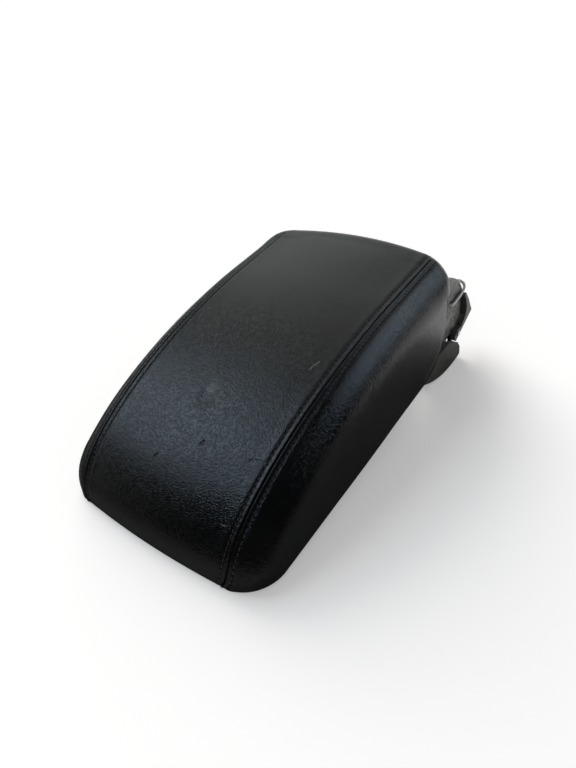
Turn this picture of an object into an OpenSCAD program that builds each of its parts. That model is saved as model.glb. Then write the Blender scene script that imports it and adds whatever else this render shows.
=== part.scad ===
// Car armrest: a sewn leather pad on a ribbed lid, with its rear spring hinge.
// Millimetres. +Z is up, the rear of the car is +Y and +X is the right side.
// The origin is on the surface that the part stands on, in the middle of the four bracket bolts.
// The hinge axis is straight above the origin. The lid is closed, with its front edge let down
// onto the same surface as the bracket foot.

/* [Pad] */
// Length of the pad from front edge to rear edge
pad_len = 272; // [250:1:320]
// Widest width of the pad
pad_w = 176; // [160:1:200]
// Height of the pad above its lower rim
pad_h = 68.5; // [55:1:95]
// Length over which the top rolls down to the front edge
roll_len = 196; // [100:1:210]
// Power of the curve of that roll, 2 is an ellipse
roll_pow = 1.9; // [1.6:0.1:3]
// Length over which the top rolls down to the rear edge
rear_roll = 16; // [15:1:30]
// Radius between the top and the sides
top_corner_r = 24; // [16:1:34]
// Corner radius seen from above, at the front
front_corner_r = 24; // [16:1:34]
// Corner radius seen from above, at the rear
rear_corner_r = 26; // [16:1:34]
// Radius that rounds the lower rear corner, so that the lid clears the console
rim_r = 47; // [30:1:50]
// Rise of the middle of the top above its edges
crown = 2.5; // [0:0.5:8]
// How far the sides bow outwards half way along
side_bow = 0.8; // [0:0.1:4]
// How much narrower each side is at the rear
rear_taper = 3.5; // [0:0.5:8]
// How far the middle of the front edge stands forward
front_bow = 5; // [0:0.1:8]
// How far the rear edge falls back at 60 mm from the middle
rear_bow = 7.5; // [0:0.5:12]

/* [Leather cover] */
// Thickness of the leather
leather_t = 1.5; // [1:0.1:2.5]
// Distance of each long seam from the middle
seam_x = 66.5; // [50:0.5:74]
// How much closer to the middle each seam is at the front edge
seam_tuck = 1.5; // [0:0.5:6]
// Width of the groove of each seam
seam_gap = 0.4; // [0.3:0.1:1]
// Gap between one layer of the pad and the next
layer_gap = 0.3; // [0.2:0.05:0.5]

/* [Foam and lid] */
// Thickness of the foam on the top
foam_top_t = 12; // [6:1:24]
// Thickness of the foam on the sides and ends
foam_side_t = 5.2; // [3:0.1:6]
// Wall of the moulded shell under the foam
shell_t = 2.4; // [1.8:0.1:3]
// Wall of the panel that closes the lid from below
panel_t = 2.5; // [2:0.1:4]
// Gap round the edge of that panel
panel_gap = 0.4; // [0.2:0.1:1]
// Height of the ribs on the panel
rib_h = 8; // [4:1:9]
// Thickness of the ribs
rib_t = 1.8; // [1.2:0.1:3]
// Outer radius of the screw bosses
boss_r = 4.5; // [3.5:0.1:6]
// Radius of the lid screws
screw_r = 1.7; // [1.2:0.1:2.5]
// Radius of the heads of the lid screws
screw_head_r = 3.4; // [2.4:0.1:4]
// Radius of the rubber bumpers
bumper_r = 6; // [4:0.5:9]
// How far the bumpers stand out below the panel
bumper_drop = 2.2; // [1:0.1:3]

/* [Hinge] */
// Height of the hinge axis above the foot of the bracket
axis_h = 40; // [38:1:60]
// Distance of the hinge axis ahead of the rear edge of the pad
axis_back = 22; // [20:1:28]
// Height of the hinge axis above the lower rim of the pad
axis_z = 12; // [8:1:16]
// Radius of the hinge pin
pin_r = 4; // [3:0.5:6]
// Running clearance of the bushes on the pin
pin_gap = 0.05; // [0.02:0.01:0.1]
// Thickness of the bracket plate
plate_t = 3; // [2:0.5:4]
// How far the outer face of each cheek lies inside the widest side of the pad
cheek_back = 14.5; // [14.5:0.5:17]
// Radius of the greased sector of each cheek
sector_r = 34; // [30:0.5:34]
// Radius of the cheek below the sector
cheek_r = 29; // [24:0.5:30]
// How far the outer face of each lid arm lies inside the outer face of its cheek
arm_back = 14.5; // [14.5:0.5:20]
// Radius of the tube between the arms
brace_r = 5; // [4:0.5:6]
// Wire diameter of the torsion springs
wire_d = 2.2; // [1.6:0.1:3]
// Middle radius of the spring coils
coil_r = 11.5; // [10:0.5:14]
// Turns of each spring
coil_turns = 3; // [2:1:3]

/* [Bracket foot] */
// Length of the foot along Y
foot_len = 44; // [36:1:50]
// Distance between the bolt holes along X
bolt_gap_x = 96; // [70:1:110]
// Distance between the bolt holes along Y
bolt_gap_y = 26; // [20:1:32]
// Radius of the bolt holes
bolt_r = 3.3; // [2.5:0.1:4.5]

/* [Hidden] */
$fn = 64;
fit_gap = 0.05;
gap = 0.3;
rim_edge = 0.8;
rows_cover = 36;
rows_core = 24;
leather_colour = "#26272a";
foam_colour = "#d8c98a";
shell_colour = "#3a3b3d";
panel_colour = "#2e2f31";
steel_colour = "#8d9094";
cast_colour = "#5c5e60";
rubber_colour = "#1c1c1e";
nylon_colour = "#c9c7bd";
// how deep each layer lies below the outside: side, top and ends
outside = [0, 0, 0];
cover_in = [leather_t, leather_t, leather_t];
foam_out = cover_in + [layer_gap, layer_gap, layer_gap];
foam_in = foam_out + [foam_side_t, foam_top_t, foam_side_t];
shell_out = foam_in + [layer_gap, layer_gap, layer_gap];
shell_in = shell_out + [shell_t, shell_t, shell_t];
shell_mid = (shell_out + shell_in) / 2;
// where the lower rim starts to rise at the rear
rim_start = pad_len - rear_corner_r - rim_r;
axis_y = pad_len - axis_back;
cheek_x = pad_w / 2 - cheek_back;
cheek_in = cheek_x - plate_t;
arm_x = cheek_x - arm_back;
// distances from the middle at which the bows of the front and rear edges are measured
front_bow_x = 86;
rear_bow_x = 60;
// the front corners of the rim touch the surface that the foot stands on
front_half = pad_w / 2 - side_bow - front_corner_r;
touch_y = axis_y - front_bow * pow(front_half / front_bow_x, 2);
rest_tilt = asin(axis_h / norm([touch_y, axis_z])) - atan2(axis_z, touch_y);
panel_z = 0.3;
panel_top = panel_z + panel_t;
rib_top = panel_top + rib_h;
arm_t = plate_t;
arm_foot_z = axis_z + 1;
spacer_from = arm_x + 1.1;
spacer_to = cheek_x - plate_t - 0.2;
coil_from = spacer_from + 1.6;
coil_to = spacer_to - 1.4;
wire_r = wire_d / 2;
guard_from = cheek_x - 13;
guard_to = cheek_x + 3.5;
end_from = cheek_x + 3.1;
end_to = end_from + 2;
bush_r = pin_r + 2;
screw_bite = 9;
nut_r = pin_r + 4;
pin_end = 2.6;
coil_room = 2.2;
spacer_r = coil_r - wire_d / 2 - coil_room;
eye_r = bush_r + 6;
hub_r = bush_r + 8;
brace_wall = 1.2;
brace_at = [-34, 10];
window_r = 4.5;
window_at = [9, -21];
sector_from = 21;
sector_to = 80;
// screws that hold the panel to the shell: places from the middle and from the front edge
screw_front = 34;
screw_rear = rim_start - 13;
panel_screws = [[pad_w / 2 - 30, screw_front], [pad_w / 2 - 30, (screw_front + screw_rear) / 2], [30, screw_rear]];
// screws that hold the foot of each arm to the shell
arm_screws = [[arm_x - 10, axis_y - 88], [arm_x - 10, axis_y - 70]];
bumper_at = [44, 24];
// places from the hinge axis, along Y and Z
leg_hole = [11, 9.5];
arm_leg = [-24, 13.4];
guard_rivet_at = [18.6, -18.6];
cover_screws = [[-13, plate_t + 5.5 - axis_h], [6, plate_t + 5.5 - axis_h]];
rivet_r = 1.2;
cover_screw_r = 1.6;
cover_head_r = cover_screw_r + 1;

// Shape of the pad. d is how deep a layer lies: side, top, ends.

function rounded_cut(r, from_end) = from_end >= r ? 0 : r - sqrt(max(r * r - (r - from_end) * (r - from_end), 0));

function half_w(y, d) =
  let (t = y / pad_len)
  pad_w / 2 - d[0] - side_bow * pow(2 * t - 1, 2) - rear_taper * t
  - rounded_cut(front_corner_r - d[0], y - d[2])
  - rounded_cut(rear_corner_r - d[0], pad_len - d[2] - y);

function rim_z(y) =
  let (v = min(max((y - rim_start) / rim_r, 0), 1))
  rim_r * (1 - sqrt(1 - v * v));

// share of the full height that the front roll has reached
function front_share(y, d) =
  let (u = min(max((y - d[2]) / (roll_len - d[2]), 0), 1))
  pow(1 - pow(1 - u, roll_pow), 1 / roll_pow);

// share of the full height that the rear roll has left
function rear_share(y, d) =
  let (end_r = max(rear_roll - d[2], 3))
  let (v = min(max((y - (pad_len - d[2] - end_r)) / end_r, 0), 1))
  sqrt(1 - v * v);

function top_z(y, d) =
  let (low = rim_z(y))
  let (z = (pad_h - d[1]) * front_share(y, d))
  max(low + rim_edge, low + (z - low) * rear_share(y, d));

function height(y, d) = top_z(y, d) - rim_z(y);

function crown_at(x, a, y, d) =
  min(crown * front_share(y, d) * rear_share(y, d), height(y, d) / 10) * pow(x / a, 2);

function corner_w(a, d) = min(top_corner_r - d[0], 0.8 * a);

function corner_h(y, d) = min(top_corner_r - d[0], 0.8 * height(y, d));

// distance of the seam from the middle, in one row of a layer
function seam_of(i, rows, d) =
  let (y = row_y(i, rows, outside))
  min(seam_x - seam_tuck * pow(1 - y / pad_len, 3), half_w(y, outside) - 3, half_w(row_y(i, rows, d), d) - 2.5);

// height of the surface at a distance x from the middle
function surface_z(x, y, d) =
  let (a = half_w(y, d))
  let (w = corner_w(a, d))
  let (flat = a - w)
  let (past = max(x - flat, 0) / w)
  top_z(y, d) - crown_at(min(x, flat), a, y, d)
  - corner_h(y, d) * (1 - sqrt(max(1 - past * past, 0)));

// front and rear edges are bowed
function bowed(x, y, z) =
  let (t = y / pad_len)
  let (front = front_bow * (1 - t) * pow(x / front_bow_x, 2))
  let (rear = rear_bow * pow(t, 4) * pow(x / rear_bow_x, 2))
  [x, y + front - rear - axis_y, z - axis_z];

// point on the rounded corner, by its angle from upright
function corner_point(turn, y, d) =
  let (a = half_w(y, d))
  let (w = corner_w(a, d))
  let (h = corner_h(y, d))
  bowed(a - w + w * sin(turn), y, max(top_z(y, d) - crown_at(a - w, a, y, d) - h * (1 - cos(turn)), rim_z(y)));

// point on the upright side, from the rounded corner (0) to the rim (1)
function side_point(share, y, d) =
  let (a = half_w(y, d))
  let (h = corner_h(y, d))
  let (z = max(top_z(y, d) - crown_at(a - corner_w(a, d), a, y, d) - h, rim_z(y) + 0.1))
  bowed(a, y, z + (rim_z(y) - z) * share);

// where the seam meets the rounded corner, as an angle
function seam_turn(x, y, d) =
  let (a = half_w(y, d))
  let (w = corner_w(a, d))
  asin(min(max((x - (a - w)) / w, 0), 0.98));

function row_y(i, rows, d) = d[2] + (pad_len - 2 * d[2]) * (1 - cos(180 * i / rows)) / 2;

// one half row, from the seam to the rim
function side_row(i, rows, d, shift, turns, drops) =
  let (y = row_y(i, rows, d))
  let (start = seam_turn(seam_of(i, rows, d) + shift, y, d))
  concat(
    [for (k = [0:turns]) corner_point(start + (90 - start) * k / turns, y, d)],
    [for (k = [1:drops]) side_point(k / drops, y, d)]);

function top_row(i, rows, d, cols) =
  let (y = row_y(i, rows, d))
  [for (k = [-cols:cols])
    let (x = seam_of(i, rows, d) * k / cols)
    bowed(x, y, surface_z(abs(x), y, d))];

function mirrored(row) = [for (i = [len(row) - 1:-1:0]) [-row[i][0], row[i][1], row[i][2]]];

// a whole row, from the left rim over the top to the right rim
function full_row(i, rows, d, cols, turns, drops) =
  let (right = side_row(i, rows, d, 0, turns, drops))
  let (y = row_y(i, rows, d))
  let (top = [for (k = [1:2 * cols - 1])
    let (x = right[0][0] * (k / cols - 1))
    bowed(x, y, surface_z(abs(x), y, d))])
  concat(mirrored(right), top, right);

// a closed skin between two grids of the same size
module skin(outer, inner) {
  n = len(outer);
  m = len(outer[0]);
  points = [for (grid = [outer, inner], row = grid, p = row) p];
  o = function (i, j) i * m + j;
  q = function (i, j) n * m + i * m + j;
  faces = concat(
    [for (i = [0:n - 2], j = [0:m - 2], f = [
      [o(i, j), o(i + 1, j), o(i + 1, j + 1)], [o(i, j), o(i + 1, j + 1), o(i, j + 1)],
      [q(i, j), q(i + 1, j + 1), q(i + 1, j)], [q(i, j), q(i, j + 1), q(i + 1, j + 1)]]) f],
    [for (i = [0:n - 2], f = [
      [o(i, 0), q(i, 0), q(i + 1, 0)], [o(i, 0), q(i + 1, 0), o(i + 1, 0)],
      [o(i, m - 1), q(i + 1, m - 1), q(i, m - 1)], [o(i, m - 1), o(i + 1, m - 1), q(i + 1, m - 1)]]) f],
    [for (j = [0:m - 2], f = [
      [o(0, j), q(0, j + 1), q(0, j)], [o(0, j), o(0, j + 1), q(0, j + 1)],
      [o(n - 1, j), q(n - 1, j), q(n - 1, j + 1)], [o(n - 1, j), q(n - 1, j + 1), o(n - 1, j + 1)]]) f]);
  polyhedron(points = points, faces = faces, convexity = 6);
}

// puts a piece of the lid, drawn about the hinge axis, at its closed place
module on_lid() {
  translate([0, 0, axis_h])
    rotate([rest_tilt, 0, 0])
      children();
}

// puts a piece of the bracket, drawn about the hinge axis, at its place
module on_axis() {
  translate([0, 0, axis_h])
    children();
}

// moves a piece drawn from the front edge and the rim to the hinge axis
module from_rim() {
  translate([0, -axis_y, -axis_z])
    children();
}

// side 1 keeps a right-hand piece, side -1 mirrors it to the left
module to_side(side) {
  if (side > 0)
    children();
  else
    mirror([1, 0, 0])
      children();
}

// lies along X, from one distance to another
module rod(r, from, to) {
  translate([from, 0, 0])
    rotate([0, 90, 0])
      cylinder(r = r, h = to - from);
}

// an outline in Y and Z, as thick as the distance between two values of X
module slab(from, to) {
  translate([from, 0, 0])
    rotate([90, 0, 90])
      linear_extrude(to - from)
        children();
}

module cover_top_panel() {
  color(leather_colour)
    on_lid()
      skin(
        [for (i = [0:rows_cover]) top_row(i, rows_cover, outside, 8)],
        [for (i = [0:rows_cover]) top_row(i, rows_cover, cover_in, 8)]);
}

module cover_side_panel(side) {
  color(leather_colour)
    on_lid()
      to_side(side)
        skin(
          [for (i = [0:rows_cover]) side_row(i, rows_cover, outside, seam_gap, 6, 3)],
          [for (i = [0:rows_cover]) side_row(i, rows_cover, cover_in, seam_gap, 6, 3)]);
}

module core_skin(out_d, in_d) {
  skin(
    [for (i = [0:rows_core]) full_row(i, rows_core, out_d, 4, 4, 2)],
    [for (i = [0:rows_core]) full_row(i, rows_core, in_d, 4, 4, 2)]);
}

module foam_pad() {
  color(foam_colour)
    on_lid()
      core_skin(foam_out, foam_in);
}

// a hollow boss that hangs from the shell and takes a screw. Its top stays inside the wall on the lower side.
module shell_boss(at, from) {
  top = surface_z(abs(at[0]) + boss_r, at[1] - boss_r, shell_mid);
  translate([at[0], at[1], from])
    difference() {
      cylinder(r = boss_r, h = top - from);
      translate([0, 0, -1])
        cylinder(r = screw_r + fit_gap, h = screw_bite + 2);
    }
}

module pad_shell() {
  color(shell_colour)
    on_lid()
      union() {
        core_skin(shell_out, shell_in);
        from_rim()
          for (side = [-1, 1]) {
            for (at = panel_screws)
              shell_boss([side * at[0], at[1]], rib_top + gap);
            for (at = arm_screws)
              shell_boss([side * at[0], at[1]], arm_foot_z + arm_t);
          }
      }
}

// outline of the flat part of the base panel: the inside of the shell's rim, less a gap all round
module panel_outline() {
  front_x = half_w(shell_in[2], shell_in) - panel_gap;
  front = [for (k = [0:4])
    let (x = front_x * k / 4)
    [x, shell_in[2] + 2 * panel_gap + front_bow * pow(x / front_bow_x, 2)]];
  side = [for (i = [1:rows_core])
    let (y = row_y(i, rows_core, shell_in))
    let (p = side_point(1, y, shell_in))
    if (y < rim_start - 1) [p[0] - panel_gap, p[1] + axis_y]];
  right = concat(front, side, [[half_w(rim_start, shell_in) - panel_gap, rim_start]]);
  polygon(concat(right, [for (i = [len(right) - 1:-1:1]) [-right[i][0], right[i][1]]]));
}

// the part of the panel that bends up round the hinge, narrower so that the cheeks pass it
module panel_bend() {
  half = cheek_in - 1;
  outer = rim_r - panel_z;
  translate([0, rim_start, rim_r])
    intersection() {
      difference() {
        rod(outer, -half, half);
        rod(outer - panel_t, -half - 1, half + 1);
      }
      translate([-half, -0.2, -outer - 1])
        cube([2 * half, outer, outer - 4]);
    }
}

module panel_ribs() {
  reach = half_w(120, shell_in) - 9;
  for (y = [28, 68, rim_start - 67, rim_start - 35])
    translate([-reach, y, panel_z + 0.5])
      cube([2 * reach, rib_t, panel_t + rib_h - 0.5]);
  for (x = [-40, -14, 14, 40])
    translate([x - rib_t / 2, 16, panel_z + 0.5])
      cube([rib_t, rim_start - 20, panel_t + rib_h - 0.5]);
}

module base_panel() {
  slot = 1;
  color(panel_colour)
    on_lid()
      from_rim()
        difference() {
          union() {
            translate([0, 0, panel_z])
              linear_extrude(panel_t)
                panel_outline();
            panel_bend();
            panel_ribs();
            for (side = [-1, 1], at = panel_screws)
              translate([side * at[0], at[1], panel_z])
                cylinder(r = boss_r, h = panel_t + rib_h);
          }
          for (side = [-1, 1], at = panel_screws)
            translate([side * at[0], at[1], -1]) {
              cylinder(r = screw_r + fit_gap, h = 20);
              cylinder(r = screw_head_r + gap, h = 1 + panel_z + 1.8);
            }
          for (side = [-1, 1]) {
            translate([side * bumper_at[0], bumper_at[1], -1])
              cylinder(r = bumper_r / 2 + fit_gap, h = 5);
            to_side(side)
              translate([arm_x - arm_t - slot, axis_y - 31, axis_z - 16])
                cube([coil_from + wire_r - arm_x + arm_t + 2 * slot, 34, 44]);
          }
        }
}

// a pan-head screw, with its head below
module lid_screw(at, head_z, length) {
  color(steel_colour)
    on_lid()
      from_rim()
        translate([at[0], at[1], head_z])
          difference() {
            union() {
              cylinder(r = screw_head_r, h = 1.6);
              cylinder(r = screw_r, h = length);
            }
            for (turn = [0, 90])
              rotate([0, 0, turn])
                translate([-2, -0.4, -1])
                  cube([4, 0.8, 1.8]);
          }
}

module panel_screw(side, i) {
  lid_screw([side * panel_screws[i][0], panel_screws[i][1]], panel_z + 0.2, rib_top + screw_bite);
}

module arm_screw(side, i) {
  lid_screw([side * arm_screws[i][0], arm_screws[i][1]], arm_foot_z - 1.6, 13);
}

// a rubber mushroom pushed into the base panel
module bumper(side) {
  color(rubber_colour)
    on_lid()
      from_rim()
        translate([side * bumper_at[0], bumper_at[1], 0]) {
          cylinder(r = bumper_r / 2, h = panel_top + 1);
          translate([0, 0, panel_z - bumper_drop])
            cylinder(r1 = bumper_r - 1, r2 = bumper_r, h = bumper_drop);
        }
}

// the steel arm of the lid: an eye on the pin, a cranked bar and a foot under the shell
module arm(side) {
  foot_y = axis_y - 97;
  foot_in = arm_screws[0][0] - 7;
  color(steel_colour)
    on_lid()
      to_side(side)
        difference() {
          union() {
            slab(arm_x - arm_t, arm_x)
              union() {
                circle(r = eye_r);
                polygon([[-97, 1], [-97, 1 + arm_t], [-60, 1 + arm_t], [-46, 15], [-26, 19], [-6, 10.4],
                  [-7, -9.7], [-23, -2], [-46, 1]]);
              }
            from_rim()
              translate([foot_in, foot_y, arm_foot_z])
                cube([arm_x - foot_in, 36, arm_t]);
          }
          rod(bush_r + fit_gap, arm_x - arm_t - 1, arm_x + 1);
          translate([0, brace_at[0], brace_at[1]])
            rod(brace_r + fit_gap, arm_x - arm_t - 1, arm_x + 1);
          rotate([-rest_tilt, 0, 0])
            translate([0, arm_leg[0], arm_leg[1]])
              rod(wire_r + 0.4, arm_x - arm_t - 1, arm_x + 1);
          from_rim()
            for (at = arm_screws)
              translate([at[0], at[1], arm_foot_z - 1])
                cylinder(r = screw_r + 0.2, h = arm_t + 2);
        }
}

// the tube that ties the two arms together
module arm_brace() {
  color(steel_colour)
    on_lid()
      translate([0, brace_at[0], brace_at[1]])
        difference() {
          rod(brace_r, -arm_x - 0.6, arm_x + 0.6);
          rod(brace_r - brace_wall, -arm_x - 2, arm_x + 2);
        }
}

module arm_bush(side) {
  color(nylon_colour)
    on_lid()
      to_side(side)
        difference() {
          union() {
            rod(bush_r, arm_x - arm_t - 0.6, arm_x + 0.2);
            rod(bush_r + 2.5, arm_x + 0.1, arm_x + 1);
          }
          rod(pin_r + pin_gap, arm_x - arm_t - 2, arm_x + 2);
        }
}

// outline of a cheek of the bracket: the greased sector, the tongue below it and the stem
module cheek_outline() {
  difference() {
    union() {
      circle(r = hub_r);
      intersection() {
        circle(r = sector_r);
        polygon([[0, 0], [60 * cos(sector_from), 60 * sin(sector_from)], [60, 60],
          [60 * cos(sector_to), 60 * sin(sector_to)]]);
      }
      intersection() {
        circle(r = cheek_r);
        polygon([[-12, -8], [0, 10], [40, 18], [40, -26], [10, -30]]);
      }
      polygon([[-20, -axis_h + 1], [12, -axis_h + 1], [12, -26], [9, -6], [-13, -6], [-18, -27]]);
    }
    translate(window_at)
      circle(r = window_r);
  }
}

// the fixed bracket: a foot plate bent up into two cheeks
module hinge_bracket() {
  color(cast_colour)
    on_axis()
      difference() {
        union() {
          translate([-cheek_x, -foot_len / 2, -axis_h])
            cube([2 * cheek_x, foot_len, plate_t]);
          for (side = [-1, 1])
            to_side(side)
              slab(cheek_in, cheek_x)
                cheek_outline();
          for (side = [-1, 1], y = [-foot_len / 2, foot_len / 2 - 2.5])
            to_side(side)
              translate([0, y, 0])
                rotate([90, 0, 180])
                  mirror([1, 0, 0])
                    translate([0, 0, -2.5])
                      linear_extrude(2.5)
                        polygon([[cheek_in + 1, -axis_h + 1], [cheek_in - 16, -axis_h + 1],
                          [cheek_in - 16, -axis_h + plate_t + 1.5], [cheek_in + 1, -axis_h + 12]]);
          translate([-cheek_in, -2, -axis_h + 1])
            cube([2 * cheek_in, 4, plate_t + 4]);
        }
        for (x = [-1, 1], y = [-1, 1])
          translate([x * bolt_gap_x / 2, y * bolt_gap_y / 2, -axis_h - 1])
            cylinder(r = bolt_r, h = plate_t + 12);
        rod(pin_r + fit_gap, -cheek_x - 1, cheek_x + 1);
        for (side = [-1, 1])
          to_side(side) {
            translate([0, leg_hole[0], leg_hole[1]])
              rod(wire_r + 0.5, cheek_in - 1, cheek_x + 1);
            translate([0, guard_rivet_at[0], guard_rivet_at[1]])
              rod(rivet_r + fit_gap, cheek_in - 1, cheek_x + 1);
            for (at = cover_screws)
              translate([0, at[0], at[1]])
                rod(cover_screw_r + fit_gap, cheek_in - 1, cheek_x + 1);
          }
      }
}

module hinge_pin() {
  color(steel_colour)
    on_axis()
      rod(pin_r, -cheek_x - pin_end, cheek_x + pin_end);
}

module spacer(side) {
  color(nylon_colour)
    on_axis()
      to_side(side)
        difference() {
          rod(spacer_r, spacer_from, spacer_to);
          rod(pin_r + pin_gap, spacer_from - 1, spacer_to + 1);
        }
}

// a pressed spring nut with teeth that grip the end of the pin
module push_nut(side) {
  color(steel_colour)
    on_axis()
      to_side(side)
        difference() {
          union() {
            rod(nut_r, cheek_x + 0.1, cheek_x + 0.9);
            rod(nut_r - 2.4, cheek_x + 0.1, cheek_x + 1.9);
          }
          rod(pin_r + fit_gap, cheek_x - 1, cheek_x + 3);
          for (turn = [0:60:300])
            rotate([turn, 0, 0])
              translate([cheek_x - 1, pin_r - 1, -0.4])
                cube([4, 3.4, 0.8]);
        }
}

// a round wire along a list of points
function turned(n, t) =
  let (m = n - (n * t) * t)
  m / norm(m);

function normals(ts, i, n) =
  i == len(ts) ? [] : let (m = turned(n, ts[i])) concat([m], normals(ts, i + 1, m));

module wire(path, r, sides) {
  n = len(path);
  ts = [for (i = [0:n - 1])
    let (v = path[min(i + 1, n - 1)] - path[max(i - 1, 0)])
    v / norm(v)];
  ns = normals(ts, 0, [0.31, 0.52, 0.79]);
  points = [for (i = [0:n - 1], k = [0:sides - 1])
    let (side_way = cross(ts[i], ns[i]))
    path[i] + r * (cos(360 * k / sides) * ns[i] + sin(360 * k / sides) * side_way)];
  faces = concat(
    [for (i = [0:n - 2], k = [0:sides - 1], f = [
      [i * sides + k, (i + 1) * sides + k, (i + 1) * sides + (k + 1) % sides],
      [i * sides + k, (i + 1) * sides + (k + 1) % sides, i * sides + (k + 1) % sides]]) f],
    [[for (k = [0:sides - 1]) k]],
    [[for (k = [sides - 1:-1:0]) (n - 1) * sides + k]]);
  polyhedron(points = points, faces = faces, convexity = 8);
}

// a coil round the spacer. The inner leg ends in a hole of the arm. The outer leg hooks over the step
// of the cheek and comes back along its greased face into a small hole.
module torsion_spring(side) {
  start = 84;
  turn = 360 * coil_turns - 25;
  steps = 16 * coil_turns + 8;
  out_x = cheek_x + wire_r + 0.2;
  hook = [29.6, 20.2];
  coil = [for (i = [0:steps])
    let (a = start - turn * i / steps)
    [coil_from + (coil_to - coil_from) * i / steps, coil_r * cos(a), coil_r * sin(a)]];
  path = concat(
    [[arm_x - 2.2, arm_leg[0], arm_leg[1]], [arm_x + 0.4, arm_leg[0], arm_leg[1]],
      [coil_from - 0.4, arm_leg[0] + 1.2, arm_leg[1]], [coil_from, arm_leg[0] + 3, arm_leg[1] - 0.2]],
    coil,
    [[coil_to, 24, 20.4], [coil_to + 0.6, hook[0] + 1.4, hook[1] + 0.6], [cheek_x - 1, hook[0] + 4.4, hook[1] - 2.4],
      [out_x - 0.4, hook[0] + 4, hook[1] - 5], [out_x, hook[0], hook[1] - 8], [out_x, 20, 10.4], [out_x, 14, 9.4],
      [out_x - 0.3, 11.9, 9.4], [cheek_x - 0.8, 11, 9.5], [cheek_in + 0.5, 11, 9.5]]);
  color(nylon_colour)
    on_axis()
      to_side(side)
        wire(path, wire_r, 8);
}

// the moulded guard behind the cheek, with its pointed corner. It straddles the edge of the cheek.
module rear_guard(side) {
  color(shell_colour)
    on_axis()
      to_side(side)
        difference() {
          slab(guard_from, guard_to)
            polygon([[31.3, 11], [36.4, 3], [42.3, -9.3], [14.8, -23.8], [12, -20], [16.5, -15.5], [24, -15],
              [31, -9], [33, -2], [31, 6], [28.8, 10.1]]);
          rod(cheek_r + gap, cheek_in - 0.1, cheek_x + 0.1);
          translate([0, guard_rivet_at[0], guard_rivet_at[1]])
            rod(rivet_r + fit_gap, guard_from - 1, guard_to + 1);
        }
}

module guard_rivet(side) {
  color(steel_colour)
    on_axis()
      to_side(side)
        translate([0, guard_rivet_at[0], guard_rivet_at[1]])
          union() {
            rod(rivet_r, guard_from - 0.8, guard_to + 0.1);
            rod(rivet_r + 0.8, guard_from - 0.8, guard_from - 0.05);
            rod(rivet_r + 0.8, guard_to + 0.05, guard_to + 0.8);
          }
}

module end_cover_outline(inset) {
  intersection() {
    translate([-1.4, 84.8 - axis_h])
      circle(r = 83.8 - inset);
    polygon([[-48 + inset, -21 - inset], [-20, -17.5 - inset], [0, -16.5 - inset], [14.8 - inset, -24.3 - inset / 2],
      [18.3 - inset, -30], [18.3 - inset, -axis_h - 10], [-48 + inset, -axis_h - 10]]);
  }
}

// the smooth moulded cap over the foot of each cheek
module end_cover(side) {
  color(panel_colour)
    on_axis()
      to_side(side)
        difference() {
          union() {
            slab(end_from, end_to)
              end_cover_outline(0);
            slab(cheek_x + 0.4, end_from + 0.5)
              difference() {
                end_cover_outline(0);
                end_cover_outline(1.8);
              }
            for (at = cover_screws)
              translate([0, at[0], at[1]])
                rod(cover_screw_r + 1.6, cheek_x + 0.05, end_from + 0.5);
          }
          for (at = cover_screws)
            translate([0, at[0], at[1]])
              rod(cover_screw_r + fit_gap, cheek_x - 1, end_from + 0.3);
        }
}

// a screw from inside the cheek into a post of the end cover
module cover_screw(side, i) {
  color(steel_colour)
    on_axis()
      to_side(side)
        translate([0, cover_screws[i][0], cover_screws[i][1]])
          difference() {
            union() {
              rod(cover_screw_r, cheek_in - 1.2, end_from);
              rod(cover_head_r, cheek_in - 1.2, cheek_in - 0.05);
            }
            for (turn = [0, 90])
              rotate([turn, 0, 0])
                translate([cheek_in - 2, -1.5, -0.3])
                  cube([1.4, 3, 0.6]);
          }
}

cover_top_panel();
cover_side_panel(-1);  // cover_left_panel
cover_side_panel(1);  // cover_right_panel
foam_pad();
pad_shell();
base_panel();
panel_screw(-1, 0);  // panel_screw_1
panel_screw(1, 0);  // panel_screw_2
panel_screw(-1, 1);  // panel_screw_3
panel_screw(1, 1);  // panel_screw_4
panel_screw(-1, 2);  // panel_screw_5
panel_screw(1, 2);  // panel_screw_6
bumper(-1);  // bumper_left
bumper(1);  // bumper_right
arm(-1);  // arm_left
arm(1);  // arm_right
arm_brace();
arm_bush(-1);  // arm_bush_left
arm_bush(1);  // arm_bush_right
arm_screw(-1, 0);  // arm_screw_1
arm_screw(1, 0);  // arm_screw_2
arm_screw(-1, 1);  // arm_screw_3
arm_screw(1, 1);  // arm_screw_4
hinge_bracket();
hinge_pin();
spacer(-1);  // spacer_left
spacer(1);  // spacer_right
torsion_spring(-1);  // torsion_spring_left
torsion_spring(1);  // torsion_spring_right
push_nut(-1);  // push_nut_left
push_nut(1);  // push_nut_right
rear_guard(-1);  // rear_guard_left
rear_guard(1);  // rear_guard_right
guard_rivet(-1);  // guard_rivet_left
guard_rivet(1);  // guard_rivet_right
end_cover(-1);  // end_cover_left
end_cover(1);  // end_cover_right
cover_screw(-1, 0);  // cover_screw_1
cover_screw(1, 0);  // cover_screw_2
cover_screw(-1, 1);  // cover_screw_3
cover_screw(1, 1);  // cover_screw_4
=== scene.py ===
import math
import bpy
import numpy as np
from mathutils import Matrix, Vector
from mathutils.bvhtree import BVHTree


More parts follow.
